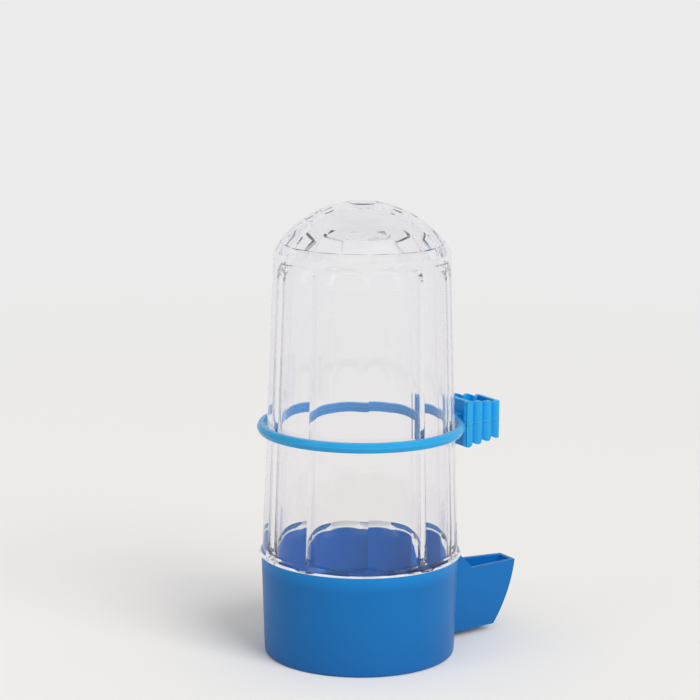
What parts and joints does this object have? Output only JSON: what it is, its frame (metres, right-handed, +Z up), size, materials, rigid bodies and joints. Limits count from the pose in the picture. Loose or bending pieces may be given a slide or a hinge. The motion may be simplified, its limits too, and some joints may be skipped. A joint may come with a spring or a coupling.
{
  "type": "fountain feeder",
  "caption": "Gravity feeder for a bird cage: a clear domed reservoir stands in a blue cup with an open drinking spout, and a ring on the reservoir carries a corrugated cage clip.",
  "frame": {"origin": "centre of the cup's flat underside, on the reservoir's axis", "axes": "+Z up along the reservoir's axis, +X towards the spout and the cage clip, +Y completes the right-handed frame"},
  "size_m": [0.0888, 0.0648, 0.1427],
  "materials": {
    "clear_plastic": "polished clear",
    "cup_plastic": "satin",
    "clip_plastic": "satin"
  },
  "bodies": {
    "cup": {"base_cup": "cup_plastic"},
    "tube": {"reservoir": "clear_plastic"},
    "clip": {"clip_ring": "clip_plastic"}
  },
  "joints": [
    {"name": "reservoir_lift", "type": "slide", "parent": "cup", "child": "tube", "axis": [0, 0, 1], "range_m": [0, 0.024]},
    {"name": "clip_slide", "type": "slide", "parent": "tube", "child": "clip", "axis": [0, 0, 1], "range_m": [-0.004, 0.075]}
  ]
}
